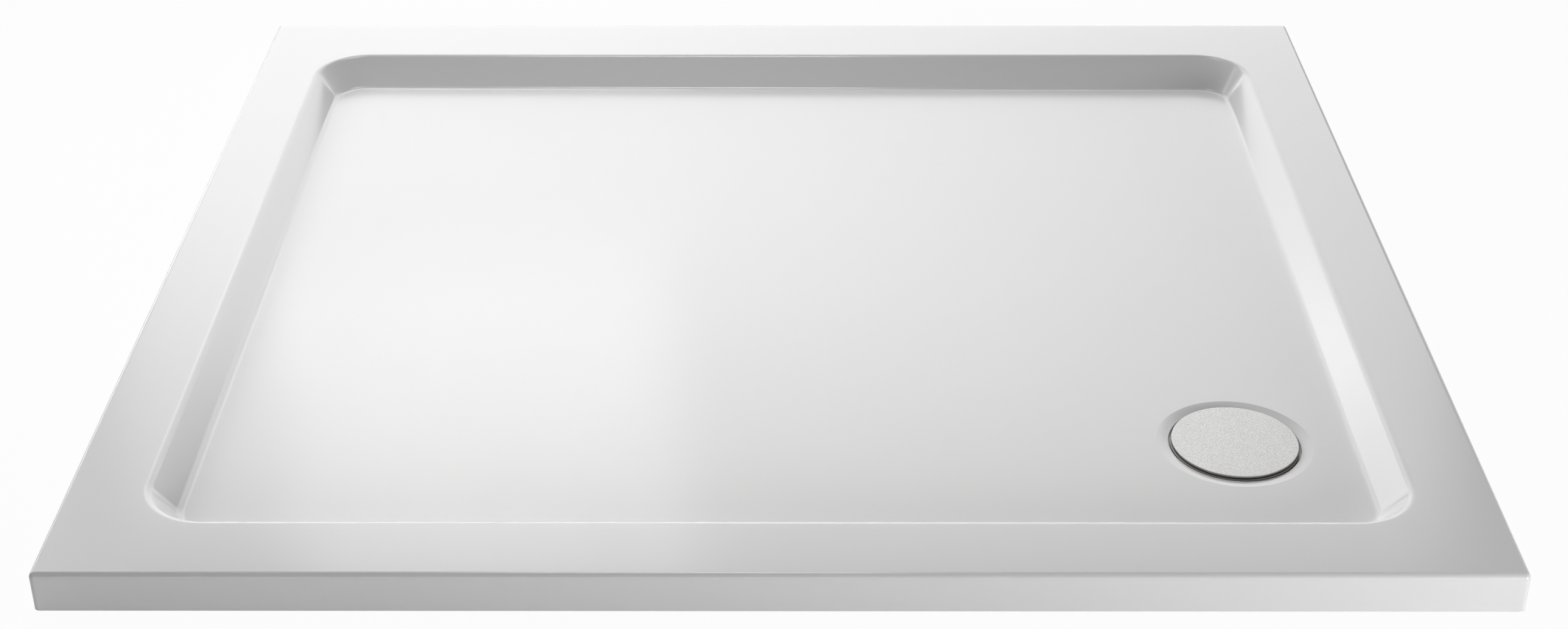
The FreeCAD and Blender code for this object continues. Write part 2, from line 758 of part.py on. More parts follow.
dip_ring = new_body("dip_tube_oring")
ring_inside = "(%s + ring_groove_clearance)" % groove_radius
ring_outside = "(%s - ring_bore_clearance)" % throat_radius
ring_profile = sketch_on(dip_ring, "XZ_Plane", "oring_profile")
circle(
    ring_profile,
    "(%s + %s) / 2" % (ring_inside, ring_outside),
    "ring_groove_level",
    "(%s - %s) / 2" % (ring_outside, ring_inside),
)
ring_turn = dip_ring.newObject("PartDesign::Revolution", "oring_turned")
ring_turn.Profile = ring_profile
ring_turn.ReferenceAxis = (ring_profile, ["V_Axis"])
ring_turn.Angle = 360
at_waste(dip_ring)

# The hair strainer: a perforated cup with a lifting knob
hair_strainer = new_body("hair_strainer")
cup_inside = "(%s - strainer_wall)" % strainer_outer
cup_floor = "(%s + strainer_wall)" % strainer_bottom
knob_top = "(%s + knob_height)" % strainer_bottom
turned(hair_strainer, "strainer_turned", [
    ("0", strainer_bottom),
    (strainer_outer, strainer_bottom),
    (strainer_outer, collar_top),
    (lip_radius, collar_top),
    (lip_radius, lip_top),
    (cup_inside, lip_top),
    (cup_inside, cup_floor),
    ("knob_radius", cup_floor),
    ("knob_radius", knob_top),
    ("0", knob_top),
])
outer_ring = "(%s - strainer_ring_distance)" % cup_inside
inner_ring = "(%s - strainer_ring_spacing)" % outer_ring
for ring, ring_radius in (("inner", inner_ring), ("outer", outer_ring)):
    hole_plan = sketch_on(hair_strainer, "XY_Plane", ring + "_hole_plan", cup_floor)
    circle(hole_plan, ring_radius, "0", "strainer_hole_radius")
    drain_hole = extruded(
        hair_strainer, ring + "_hole", hole_plan, "2 * strainer_wall", "PartDesign::Pocket", down=True
    )
    repeated(hair_strainer, ring + "_holes", drain_hole, "strainer_%s_count" % ring)
slot_plan = sketch_on(hair_strainer, "XZ_Plane", "slot_plan", "2 * knob_radius")
slot_low = "%s + strainer_slot_margin" % cup_floor
slot_high = "%s - strainer_slot_margin" % collar_top
outline(slot_plan, [
    ("0 - strainer_slot_width / 2", slot_low),
    ("strainer_slot_width / 2", slot_low),
    ("strainer_slot_width / 2", slot_high),
    ("0 - strainer_slot_width / 2", slot_high),
])
slot = extruded(hair_strainer, "slot", slot_plan, strainer_outer, "PartDesign::Pocket", down=False)
repeated(hair_strainer, "slots", slot, "strainer_slot_count")
at_waste(hair_strainer)

# The cover: a pressed disc whose edge is turned down, on a moulded carrier whose padded
# legs stand on the strainer's lip
waste_cover = new_body("waste_cover")
cover_inside = "(cover_radius - cover_edge_thickness)"
cover_lip = "(%s - cover_edge_depth)" % cover_top
turned(waste_cover, "cover_turned", [
    ("0", carrier_top),
    (cover_inside, carrier_top),
    (cover_inside, cover_lip),
    ("cover_radius", cover_lip),
    ("cover_radius", cover_top),
    ("0", cover_top),
])
rounded(waste_cover, "cover_edge", ring_edge("cover_radius", cover_top), "cover_edge_radius")
at_waste(waste_cover)

cover_carrier = new_body("cover_carrier")
turned(cover_carrier, "carrier_plate_turned", [
    ("0", "%s - carrier_rib_depth" % carrier_bottom),
    ("carrier_hub_radius", "%s - carrier_rib_depth" % carrier_bottom),
    ("carrier_hub_radius", carrier_bottom),
    (carrier_radius, carrier_bottom),
    (carrier_radius, carrier_top),
    ("0", carrier_top),
])
rib_plan = sketch_on(cover_carrier, "XY_Plane", "rib_plan", "%s - carrier_rib_depth" % carrier_bottom)
outline(rib_plan, [
    ("0", "0 - carrier_rib_thickness / 2"),
    (leg_outside, "0 - carrier_rib_thickness / 2"),
    (leg_outside, "carrier_rib_thickness / 2"),
    ("0", "carrier_rib_thickness / 2"),
])
rib = extruded(cover_carrier, "rib", rib_plan, "carrier_rib_depth + carrier_plate / 2")
repeated(cover_carrier, "ribs", rib, "leg_count")
leg_foot = "(%s + pad_thickness)" % lip_top


def leg_outline(sketch):
    """The section of one leg, across its own radius."""
    outline(sketch, [
        (leg_inside, "0 - leg_width / 2"),
        (leg_outside, "0 - leg_width / 2"),
        (leg_outside, "leg_width / 2"),
        (leg_inside, "leg_width / 2"),
    ])


leg_plan = sketch_on(cover_carrier, "XY_Plane", "leg_plan", leg_foot)
leg_outline(leg_plan)
leg = extruded(cover_carrier, "leg", leg_plan, "%s - %s + carrier_plate / 2" % (carrier_bottom, leg_foot))
repeated(cover_carrier, "legs", leg, "leg_count")
at_waste(cover_carrier)

cover_pads = new_body("cover_pads")
pad_plan = sketch_on(cover_pads, "XY_Plane", "pad_plan", lip_top)
leg_outline(pad_plan)
pad = extruded(cover_pads, "pad", pad_plan, "pad_thickness")
repeated(cover_pads, "pads", pad, "leg_count")
at_waste(cover_pads)

# The side outlet points to -X; these pieces are turned about its axis, whose local Z
# runs outwards from the waste's own axis.
OUTWARDS = FreeCAD.Rotation(FreeCAD.Vector(0, 1, 0), -90)


def on_outlet(piece):
    """Lays a turned piece on the outlet's axis."""
    piece.Placement = FreeCAD.Placement(FreeCAD.Vector(0, 0, 0), OUTWARDS)
    at_waste(piece)
    piece.setExpression("Placement.Base.z", bound("outlet_level"))


def at_bend_end(piece):
    """Lays a turned piece on the axis that leaves the bend."""
    swing = FreeCAD.Rotation(FreeCAD.Vector(0, 0, 1), -number("bend_angle"))
    piece.Placement = FreeCAD.Placement(FreeCAD.Vector(0, 0, 0), swing.multiply(OUTWARDS))
    along = "(%s + bend_radius * sin(bend_angle))" % bend_start
    across = "(bend_radius * (1 - cos(bend_angle)))"
    piece.setExpression("Placement.Base.x", bound("%s - %s" % (waste_x, along)))
    piece.setExpression("Placement.Base.y", bound("%s + %s" % (waste_y, across)))
    piece.setExpression("Placement.Base.z", bound("outlet_level"))


def grip_nut(label, bore, low, lip_inner, lip_low):
    """A ring nut with an inward lip at its far end and grip ribs round the outside."""
    nut = new_body(label)
    outer = "(%s + nut_wall)" % bore
    high = "(%s + nut_lip_thickness)" % lip_low
    turned(nut, label + "_turned", [
        (bore, low),
        (outer, low),
        (outer, high),
        (lip_inner, high),
        (lip_inner, lip_low),
        (bore, lip_low),
    ])
    grip_plan = sketch_on(nut, "XY_Plane", label + "_grip_plan", low)
    outline(grip_plan, [
        ("%s - nut_wall / 2" % outer, "0 - nut_grip_width / 2"),
        ("%s + nut_grip_height" % outer, "0 - nut_grip_width / 2"),
        ("%s + nut_grip_height" % outer, "nut_grip_width / 2"),
        ("%s - nut_wall / 2" % outer, "nut_grip_width / 2"),
    ])
    grip = extruded(nut, label + "_grip", grip_plan, "%s - %s" % (high, low))
    repeated(nut, label + "_grips", grip, "nut_grip_count")
    return nut


elbow_seal = new_body("elbow_seal")
union_seal_inside = "(%s + union_seal_clearance)" % spigot_radius
turned(elbow_seal, "elbow_seal_turned", tube(
    union_seal_inside,
    "%s + union_seal_wall" % union_seal_inside,
    outlet_reach,
    "%s + union_seal_thickness" % outlet_reach,
))
on_outlet(elbow_seal)

elbow_nut = grip_nut(
    "elbow_nut",
    union_nut_bore,
    "(%s + union_nut_setback)" % outlet_thread_start,
    "(%s + nut_lip_clearance)" % spigot_radius,
    "(%s + nut_end_gap)" % collar_end,
)
on_outlet(elbow_nut)

# The swivel elbow: spigot and collar, bend, and socket for the pipe
elbow_inlet = new_body("elbow_inlet")
spigot_end = "(%s - union_socket_depth + spigot_end_gap)" % outlet_reach
turned(elbow_inlet, "elbow_inlet_turned", [
    (elbow_bore, spigot_end),
    (spigot_radius, spigot_end),
    (spigot_radius, elbow_collar_start),
    (elbow_collar_radius, elbow_collar_start),
    (elbow_collar_radius, collar_end),
    (spigot_radius, collar_end),
    (spigot_radius, bend_start),
    (elbow_bore, bend_start),
])
on_outlet(elbow_inlet)

elbow_bend = new_body("elbow_bend")
bend_plan = sketch_on(elbow_bend, "YZ_Plane", "bend_section", "0 - %s" % bend_start)
circle(bend_plan, "0", "0", spigot_radius)
circle(bend_plan, "0", "0", elbow_bore)
hinge_low = FreeCAD.Vector(number("bend_radius"), -number(elbow_bore), 0)
hinge_high = FreeCAD.Vector(number("bend_radius"), number(elbow_bore), 0)
hinge = bend_plan.addGeometry(Part.LineSegment(hinge_low, hinge_high), True)
pin_point(bend_plan, hinge, 1, ("bend_radius", "0 - %s" % elbow_bore))
pin_point(bend_plan, hinge, 2, ("bend_radius", elbow_bore))
bend = elbow_bend.newObject("PartDesign::Revolution", "bend")
bend.Profile = bend_plan
bend.ReferenceAxis = (bend_plan, ["Axis0"])
bend.setExpression("Angle", bound("bend_angle"))
bend.Reversed = True
at_waste(elbow_bend)
elbow_bend.setExpression("Placement.Base.z", bound("outlet_level"))

elbow_outlet = new_body("elbow_outlet")
socket_start = "(pipe_stop_length - elbow_wall)"
socket_end = "(pipe_stop_length + pipe_socket_depth)"
cone_start = "(%s - cone_seat_depth)" % socket_end
turned(elbow_outlet, "elbow_outlet_turned", [
    (elbow_bore, "0"),
    (spigot_radius, "0"),
    (spigot_radius, socket_start),
    (pipe_thread_radius, socket_start),
    (pipe_thread_radius, socket_end),
    (cone_mouth_radius, socket_end),
    ("pipe_socket_radius", cone_start),
    ("pipe_socket_radius", "pipe_stop_length"),
    (elbow_bore, "pipe_stop_length"),
])
at_bend_end(elbow_outlet)

outlet_elbow = doc.addObject("Part::MultiFuse", "outlet_elbow")
outlet_elbow.Shapes = [elbow_inlet, elbow_bend, elbow_outlet]
outlet_elbow.Refine = True
outlet_elbow.Label = "outlet_elbow"

# The compression joint that grips the pipe
seal_end = "(%s + cone_seal_stand)" % socket_end
loose_radius = "(pipe_socket_radius + pipe_loose_clearance)"
cone_rise = "(cone_seat_depth * pipe_loose_clearance / cone_mouth_growth)"
outlet_seal = new_body("outlet_seal")
turned(outlet_seal, "outlet_seal_turned", [
    (loose_radius, "%s + %s" % (cone_start, cone_rise)),
    (cone_mouth_radius, socket_end),
    (cone_mouth_radius, seal_end),
    (loose_radius, seal_end),
])
at_bend_end(outlet_seal)

slip_washer = new_body("slip_washer")
washer_end = "(%s + slip_washer_thickness)" % seal_end
turned(slip_washer, "slip_washer_turned", tube(
    loose_radius, "%s - pipe_loose_clearance" % outlet_nut_bore, seal_end, washer_end
))
at_bend_end(slip_washer)

outlet_nut = grip_nut(
    "outlet_nut", outlet_nut_bore, "(%s - outlet_nut_overlap)" % socket_end, loose_radius, washer_end
)
at_bend_end(outlet_nut)

NODES = [
    tray_skin,
    tray_core,
    waste_cover,
    cover_carrier,
    cover_pads,
    hair_strainer,
    dip_tube,
    dip_ring,
    waste_flange,
    flange_washer,
    tray_gasket,
    flange_screws,
    screw_inserts,
    trap_body,
    trap_bowl,
    elbow_seal,
    elbow_nut,
    outlet_elbow,
    outlet_seal,
    slip_washer,
    outlet_nut,
]
doc.recompute()
for item in doc.Objects:
    if "Invalid" in item.State or "Error" in item.State:
        raise RuntimeError("%s did not build: %s" % (item.Label, item.State))
for node in NODES:
    if node.Shape.isNull() or not node.Shape.isValid():
        raise RuntimeError("%s has no sound shape" % node.Label)

os.makedirs("parts", exist_ok=True)
for node in NODES:
    node.Shape.exportStep("parts/%s.step" % node.Label)
    print(node.Label, len(node.Shape.Solids), "solids", round(node.Shape.Volume), "mm3")
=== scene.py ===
"""Looks of a shower tray with its round waste and trap: surfaces, finishes, studio, camera.

Metres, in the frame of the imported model: +X to the right, +Y to the back, +Z up, with the
origin under the middle of the tray. Sizes are written in millimetres times MM.
"""

import math

import bmesh
import bpy
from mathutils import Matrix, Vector


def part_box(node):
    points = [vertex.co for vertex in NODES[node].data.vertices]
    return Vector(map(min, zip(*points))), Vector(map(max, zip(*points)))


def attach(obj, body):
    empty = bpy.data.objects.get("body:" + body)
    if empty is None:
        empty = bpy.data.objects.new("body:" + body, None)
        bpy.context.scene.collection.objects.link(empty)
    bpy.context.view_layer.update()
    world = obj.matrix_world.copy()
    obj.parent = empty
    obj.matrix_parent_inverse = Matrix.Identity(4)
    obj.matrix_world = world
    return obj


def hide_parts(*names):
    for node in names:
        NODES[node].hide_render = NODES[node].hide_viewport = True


MM = 0.001
DEG = math.radians(1)

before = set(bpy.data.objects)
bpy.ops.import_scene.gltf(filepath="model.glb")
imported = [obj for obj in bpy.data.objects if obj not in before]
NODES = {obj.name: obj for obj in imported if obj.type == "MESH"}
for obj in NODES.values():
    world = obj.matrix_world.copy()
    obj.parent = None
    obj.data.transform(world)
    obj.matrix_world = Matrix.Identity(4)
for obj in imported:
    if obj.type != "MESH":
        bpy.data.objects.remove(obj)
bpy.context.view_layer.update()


# ---------------------------------------------------------------- shader maths

# A Mix node has sockets for each kind of data, and these are the ones that mix colours
MIX_SHARE = 0
MIX_FIRST = 6
MIX_SECOND = 7
MIX_RESULT = 2


class Flow:
    """The output of one shader node, with Python's own arithmetic on numbers and masks."""

    def __init__(self, tree, socket):
        self.tree = tree
        self.socket = socket

    def maths(self, operation, first, second):
        """One Math node on two values or links."""
        return node(self.tree, "ShaderNodeMath", {"operation": operation}, {0: first, 1: second})

    def __add__(self, other):
        return self.maths("ADD", self, other)

    def __radd__(self, other):
        return self.maths("ADD", other, self)

    def __mul__(self, other):
        return self.maths("MULTIPLY", self, other)

    def __rmul__(self, other):
        return self.maths("MULTIPLY", other, self)

    def either(self, other):
        """1 where this mask or the other one is 1."""
        return self.maths("MAXIMUM", self, other)

    def above(self, low, high):
        """0 below low, 1 above high, and a smooth rise between them."""
        settings = {"interpolation_type": "SMOOTHSTEP"}
        inputs = {"Value": self, "From Min": low, "From Max": high}
        return node(self.tree, "ShaderNodeMapRange", settings, inputs)


def node(tree, kind, settings=None, inputs=None, output=0):
    """Adds a node: settings first, then the values or links of its sockets."""
    made = tree.nodes.new(kind)
    for name, value in (settings or {}).items():
        setattr(made, name, value)
    for key, value in (inputs or {}).items():
        if isinstance(value, Flow):
            tree.links.new(value.socket, made.inputs[key])
        else:
            made.inputs[key].default_value = value
    return Flow(tree, made.outputs[output] if made.outputs else None)


class Finish:
    """A material under way: its patterns are in real sizes on the object itself."""

    def __init__(self, name):
        self.material = bpy.data.materials.new(name)
        self.material.use_nodes = True
        self.tree = self.material.node_tree
        self.tree.nodes.clear()
        self.place = node(self.tree, "ShaderNodeTexCoord", output="Object")

    def node(self, kind, settings=None, inputs=None, output=0):
        return node(self.tree, kind, settings, inputs, output)

    def grain(self, size, detail=2.0, stretch=(1, 1, 1)):
        """Noise from 0 to 1 whose spots are about as large as size."""
        scale = [share / size for share in stretch]
        scaled = self.node("ShaderNodeMapping", inputs={"Vector": self.place, "Scale": scale})
        noise = {"Vector": scaled, "Scale": 1.0, "Detail": detail}
        return self.node("ShaderNodeTexNoise", inputs=noise)

    def pits(self, size):
        """Rounded spots: 0 in the middle of each, rising to their borders."""
        return self.node("ShaderNodeTexVoronoi", inputs={"Vector": self.place, "Scale": 1 / size})

    def blend(self, share, first, second):
        """A colour between two colours."""
        inputs = {MIX_SHARE: share, MIX_FIRST: colour(first), MIX_SECOND: colour(second)}
        return self.node("ShaderNodeMix", {"data_type": "RGBA"}, inputs, MIX_RESULT)

    def relief(self, height, depth, below=None):
        """A bump of a real depth, over the one below it."""
        inputs = {"Height": height, "Distance": depth, "Strength": 1.0}
        if below is not None:
            inputs["Normal"] = below
        return self.node("ShaderNodeBump", inputs=inputs)

    def surface(self, **sockets):
        """The finished material, with the named sockets of the Principled BSDF set."""
        inputs = {name.replace("_", " "): value for name, value in sockets.items()}
        return self.ending_in(self.node("ShaderNodeBsdfPrincipled", inputs=inputs))

    def ending_in(self, shader):
        """The finished material, with a shader as its surface."""
        self.node("ShaderNodeOutputMaterial", inputs={"Surface": shader})
        return self.material


def colour(value):
    """A linear colour of three numbers, or a link, as a socket takes it."""
    if isinstance(value, Flow):
        return value
    return (*value, 1.0)


# ---------------------------------------------------------------- finishes


def gloss_acrylic():
    """Cast acrylic: even gloss white, with faint smears and a slow ripple from forming."""
    finish = Finish("gloss_acrylic")
    cloud = finish.grain(150 * MM)
    smear = finish.grain(60 * MM, 4, (1, 0.35, 1))
    peel = finish.grain(9 * MM, 1)
    ripple = finish.grain(210 * MM, 1)
    formed = finish.relief(ripple, 0.25 * MM)
    return finish.surface(
        Base_Color=finish.blend(cloud, (0.83, 0.832, 0.832), (0.85, 0.85, 0.848)),
        Roughness=0.13 + 0.07 * smear,
        Normal=finish.relief(peel, 0.004 * MM, formed),
        IOR=1.49,
    )


def cast_resin():
    """Stone-filled resin: matt cream with fine grey grit and a few air pits."""
    finish = Finish("cast_resin")
    grit = finish.grain(1.2 * MM, 4)
    cloud = finish.grain(40 * MM, 3)
    pit = finish.pits(7 * MM).above(0.1, 0.22)
    body = finish.blend(cloud, (0.50, 0.47, 0.41), (0.60, 0.57, 0.50))
    return finish.surface(
        Base_Color=finish.blend(grit.above(0.35, 0.6), (0.42, 0.40, 0.36), body),
        Roughness=0.72 + 0.15 * grit,
        Normal=finish.relief(grit, 0.05 * MM, finish.relief(pit, 0.3 * MM)),
    )


def blasted_metal(name, light, dark, roughness):
    """Bead-blasted plate: tiny sparkling dimples under a satin sheen."""
    finish = Finish(name)
    dimple = finish.grain(0.9 * MM, 3)
    cloud = finish.grain(14 * MM, 3)
    tone = finish.blend(dimple.above(0.3, 0.7), dark, light)
    return finish.surface(
        Base_Color=finish.blend(0.25 * cloud, tone, dark),
        Metallic=1.0,
        Roughness=roughness + 0.16 * dimple,
        Normal=finish.relief(dimple, 0.035 * MM),
    )


def turned_metal(name, light, dark, roughness):
    """Machined metal: fine rings from the tool and a few duller patches."""
    finish = Finish(name)
    lines = finish.grain(0.5 * MM, 3, (0.2, 0.2, 3))
    stain = finish.grain(3 * MM, 3)
    return finish.surface(
        Base_Color=finish.blend(stain.above(0.4, 0.7), light, dark),
        Metallic=1.0,
        Roughness=roughness + 0.2 * stain,
        Normal=finish.relief(lines, 0.02 * MM),
    )


def moulded_plastic(name, light, dark, roughness):
    """Moulded plastic: fine spark texture, flow clouds and lighter scuffs."""
    finish = Finish(name)
    spark = finish.grain(0.8 * MM, 3)
    cloud = finish.grain(18 * MM, 3)
    scuff = finish.grain(5 * MM, 6, (1, 0.25, 1)).above(0.62, 0.72)
    body = finish.blend(cloud, dark, light)
    paler = [min(1.0, 1.25 * share + 0.02) for share in light]
    return finish.surface(
        Base_Color=finish.blend(0.35 * scuff, body, paler),
        Roughness=roughness + 0.12 * spark + 0.1 * scuff,
        Normal=finish.relief(spark, 0.02 * MM),
    )


def soft_rubber():
    """Black sealing rubber with a pale bloom."""
    finish = Finish("soft_rubber")
    bloom = finish.grain(6 * MM, 4)
    skin = finish.grain(0.6 * MM, 2)
    tone = finish.blend(bloom.above(0.45, 0.75), (0.018, 0.018, 0.019), (0.05, 0.05, 0.052))
    return finish.surface(
        Base_Color=tone,
        Roughness=0.55 + 0.25 * bloom,
        Normal=finish.relief(skin, 0.03 * MM),
    )


# Light colour, dark colour and roughness of the metals and plastics
STEEL = ((0.43, 0.43, 0.423), (0.28, 0.28, 0.273), 0.40)
BRIGHT_STEEL = ((0.62, 0.61, 0.59), (0.5, 0.49, 0.47), 0.22)
BRASS = ((0.78, 0.58, 0.30), (0.6, 0.42, 0.2), 0.25)
BLACK = ((0.032, 0.032, 0.033), (0.022, 0.022, 0.023), 0.42)
GREY = ((0.36, 0.37, 0.38), (0.32, 0.33, 0.34), 0.36)
PALE_GREY = ((0.46, 0.47, 0.48), (0.42, 0.43, 0.44), 0.44)
TAUPE = ((0.27, 0.245, 0.225), (0.23, 0.21, 0.195), 0.4)
OFF_WHITE = ((0.78, 0.78, 0.76), (0.74, 0.74, 0.72), 0.38)

# The finish of each of the record's material slots
FINISHES = {
    "cap_white": gloss_acrylic(),
    "core_resin": cast_resin(),
    "cover_steel": blasted_metal("blasted_steel", *STEEL),
    "carrier_black": moulded_plastic("black_plastic", *BLACK),
    "insert_grey": moulded_plastic("grey_plastic", *GREY),
    "flange_taupe": moulded_plastic("taupe_plastic", *TAUPE),
    "seal_rubber": soft_rubber(),
    "screw_steel": turned_metal("screw_steel", *BRIGHT_STEEL),
    "insert_brass": turned_metal("brass", *BRASS),
    "trap_white": moulded_plastic("white_plastic", *OFF_WHITE),
    "nut_grey": moulded_plastic("nut_plastic", *PALE_GREY),
}


def dress(piece, slot):
    """Gives a piece the finish of one of the record's material slots."""
    piece.data.materials.clear()
    piece.data.materials.append(FINISHES[slot])


# ---------------------------------------------------------------- meshes

# Points nearer than this are the same point
MERGE_DISTANCE = 0.001 * MM


def lofted(name, rings, sharp_angle):
    """A closed surface through rings of equally many points, the last joined to the first."""
    mesh = bmesh.new()
    rows = [[mesh.verts.new(point) for point in ring] for ring in rings]
    for row, following in zip(rows, rows[1:] + rows[:1]):
        for index, corner in enumerate(row):
            beside = (index + 1) % len(row)
            mesh.faces.new((corner, row[beside], following[beside], following[index]))
    return finished(name, mesh, sharp_angle)


def finished(name, mesh, sharp_angle):
    """Merges doubled points, drops loose edges, turns the faces outwards and shades smoothly."""
    bmesh.ops.remove_doubles(mesh, verts=mesh.verts, dist=MERGE_DISTANCE)
    bmesh.ops.dissolve_degenerate(mesh, edges=mesh.edges, dist=MERGE_DISTANCE)
    loose = [edge for edge in mesh.edges if edge.is_wire]
    bmesh.ops.delete(mesh, geom=loose, context="EDGES")
    bmesh.ops.recalc_face_normals(mesh, faces=mesh.faces)
    data = bpy.data.meshes.new(name)
    mesh.to_mesh(data)
    mesh.free()
    data.polygons.foreach_set("use_smooth", [True] * len(data.polygons))
    data.set_sharp_from_angle(angle=sharp_angle)
    piece = bpy.data.objects.new(name, data)
    bpy.context.scene.collection.objects.link(piece)
    weighted = piece.modifiers.new("flat_faces_lead", "WEIGHTED_NORMAL")
    weighted.keep_sharp = True
    return piece


def fillet(corner, first, second, radius, steps):
    """Points of the arc that rounds the corner between two directions."""
    first = first.normalized()
    second = second.normalized()
    half = first.angle(second) / 2
    start = corner + first * (radius / math.tan(half))
    end = corner + second * (radius / math.tan(half))
    centre = corner + (first + second).normalized() * (radius / math.sin(half))
    turn = math.pi - 2 * half
    points = []
    for step in range(steps + 1):
        share = step / steps
        near = math.sin((1 - share) * turn) / math.sin(turn)
        far = math.sin(share * turn) / math.sin(turn)
        points.append(centre + (start - centre) * near + (end - centre) * far)
    return points


def between(first, second, steps):
    """Evenly spaced points inside a straight line, without its ends."""
    return [first.lerp(second, step / steps) for step in range(1, steps)]


# ---------------------------------------------------------------- the white cap

# Its own sizes, the same as in the solid that it stands for
SKIN_THICKNESS = 2.5 * MM
CORNER_RADIUS = 5 * MM
TOP_EDGE_RADIUS = 5 * MM
SIDE_RIM = 69 * MM
FRONT_RIM = 75 * MM
BACK_RIM = 90 * MM
SIDE_LEAN = 40 * DEG
FRONT_LEAN = 40 * DEG
BACK_LEAN = 53.5 * DEG
RIM_CORNER_RADIUS = 55 * MM
FOOT_CORNER_RADIUS = 30 * MM
RIM_ROUNDOVER = 10 * MM
COVE_RADIUS = 10 * MM
FLOOR_LEVEL = 8.5 * MM
FLOOR_FALL = 0.0025
RECESS_RADIUS = 69 * MM
RECESS_SEAT_RADIUS = 58 * MM
RECESS_SLOPE_DEPTH = 1.4 * MM
RECESS_DEPTH = 4 * MM
RECESS_LIP_RADIUS = 6 * MM
SEAT_EDGE_RADIUS = 1 * MM

SKIN_LOW, SKIN_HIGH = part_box("tray_skin")
WASHER_LOW, WASHER_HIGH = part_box("flange_washer")
WASTE = (WASHER_LOW + WASHER_HIGH) / 2
WASTE.z = 0
WASTE_HOLE_RADIUS = 45 * MM

# How finely its curves are divided
BEARING_STEP = 3 * DEG
CORNER_STEPS = 14
ARC_STEPS = 9
LIP_STEPS = 4
WALL_STEPS = 3
FLOOR_STEPS = 8
CREASE = 16 * DEG

# An outline is a rounded rectangle: four sides and, after each, the corner arc that follows
OUTLINE_PARTS = 8
# The wall's foot and the floor's fall depend on each other, and this many rounds settle them
FOOT_ROUNDS = 4


def outline_point(outline, station):
    """The point of an outline at a station: (side or corner arc, share along it)."""
    left, right, front, back, radius = outline
    part, share = station
    centres = (
        Vector((right - radius, front + radius)),
        Vector((right - radius, back - radius)),
        Vector((left + radius, back - radius)),
        Vector((left + radius, front + radius)),
    )

    def on_arc(corner, along):
        angle = (corner - 1 + along) * math.pi / 2
        return centres[corner % 4] + radius * Vector((math.cos(angle), math.sin(angle)))

    corner = part // 2
    if part % 2:
        return on_arc(corner, share)
    return on_arc(corner - 1, 1).lerp(on_arc(corner, 0), share)


def at_level(outline, station, level):
    """The point of an outline at a station, raised to a level."""
    return Vector((*outline_point(outline, station), level))


def outer_outline(inset):
    """The tray's outline from above, drawn in by inset."""
    radius = max(CORNER_RADIUS - inset, 0)
    low = SKIN_LOW + Vector((inset, inset, 0))
    high = SKIN_HIGH - Vector((inset, inset, 0))
    return (low.x, high.x, low.y, high.y, radius)


def basin_outline(level, inset):
    """The basin's outline at a level, with the surface drawn in by inset."""
    drop = SKIN_HIGH.z - level
    side = SIDE_RIM - inset / math.cos(SIDE_LEAN) + drop * math.tan(SIDE_LEAN)
    front = FRONT_RIM - inset / math.cos(FRONT_LEAN) + drop * math.tan(FRONT_LEAN)
    back = BACK_RIM - inset / math.cos(BACK_LEAN) + drop * math.tan(BACK_LEAN)
    taper = (RIM_CORNER_RADIUS - FOOT_CORNER_RADIUS) / (SKIN_HIGH.z - FLOOR_LEVEL)
    radius = RIM_CORNER_RADIUS - drop * taper + inset
    return (SKIN_LOW.x + side, SKIN_HIGH.x - side, SKIN_LOW.y + front, SKIN_HIGH.y - back, radius)


def stations():
    """Places round the outline, so close together that the round recess stays round."""
    outline = basin_outline(FLOOR_LEVEL, 0)
    found = []
    for part in range(OUTLINE_PARTS):
        if part % 2:
            found += [(part, step / CORNER_STEPS) for step in range(CORNER_STEPS)]
            continue
        start = outline_point(outline, (part, 0)) - WASTE.xy
        end = outline_point(outline, (part, 1)) - WASTE.xy
        span = abs(start.angle_signed(end))
        count = math.ceil(span / BEARING_STEP)
        across = (end - start).normalized()
        square = start - across * start.dot(across)
        first = math.atan2(start.dot(across), square.length)
        last = math.atan2(end.dot(across), square.length)
        for step in range(count):
            along = square.length * math.tan(first + (last - first) * step / count)
            found.append((part, (along - start.dot(across)) / (end - start).length))
    return found


def floor_point(spot, inset):
    """The point of the falling floor over or under a spot."""
    away = (spot.xy - WASTE.xy).length
    return Vector((spot.x, spot.y, FLOOR_LEVEL + FLOOR_FALL * (away - RECESS_RADIUS) - inset))


def outer_side(station, inset):
    """Up the outside and round the top edge."""
    radius = TOP_EDGE_RADIUS - inset
    shoulder = SKIN_HIGH.z - TOP_EDGE_RADIUS
    points = [
        at_level(outer_outline(inset), station, SKIN_LOW.z),
        at_level(outer_outline(inset), station, (SKIN_LOW.z + shoulder) / 2),
    ]
    for step in range(ARC_STEPS + 1):
        angle = step / ARC_STEPS * math.pi / 2
        drawn_in = inset + radius * (1 - math.cos(angle))
        level = shoulder + radius * math.sin(angle)
        points.append(at_level(outer_outline(drawn_in), station, level))
    return points


def wall(station, inset):
    """Over the rim's inner edge, down the leaning wall and round the cove at its foot."""
    top_level = SKIN_HIGH.z - inset
    top = at_level(basin_outline(top_level, inset), station, top_level)
    foot = top
    for _ in range(FOOT_ROUNDS):
        level = floor_point(foot, inset).z
        foot = at_level(basin_outline(level, inset), station, level)
    down = foot - top
    inwards = Vector((down.x, down.y, 0))
    roundover = fillet(top, -inwards, down, RIM_ROUNDOVER - inset, ARC_STEPS)
    cove = fillet(foot, -down, inwards, COVE_RADIUS + inset, ARC_STEPS)
    cove[-1] = floor_point(cove[-1], inset)
    return roundover + between(roundover[-1], cove[0], WALL_STEPS) + cove


